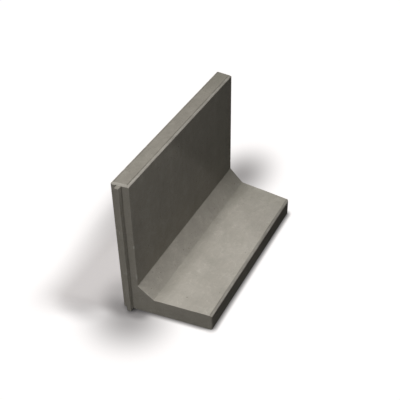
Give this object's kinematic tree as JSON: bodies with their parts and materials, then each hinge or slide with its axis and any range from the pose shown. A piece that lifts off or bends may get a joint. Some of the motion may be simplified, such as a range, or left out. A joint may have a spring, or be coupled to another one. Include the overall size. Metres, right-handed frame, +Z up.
{
  "type": "concrete l-shaped retaining element",
  "caption": "Free-standing L-shaped concrete retaining element: an upright stem on a flat foot, its ends slanting in towards the toe, with an inside haunch and a joint tongue down one end.",
  "frame": {"origin": "on the ground, under the middle of the element's footprint with the tongue included", "axes": "+X along the wall towards the end with the tongue, +Y from the visible outer face to the toe of the foot, +Z up"},
  "size_m": [2.024, 0.87, 1.45],
  "materials": {
    "concrete": "grey-beige precast concrete, smooth where it met the mould, faintly mottled with fine air holes"
  },
  "bodies": {
    "root": {"retaining_element": "concrete"}
  },
  "joints": []
}
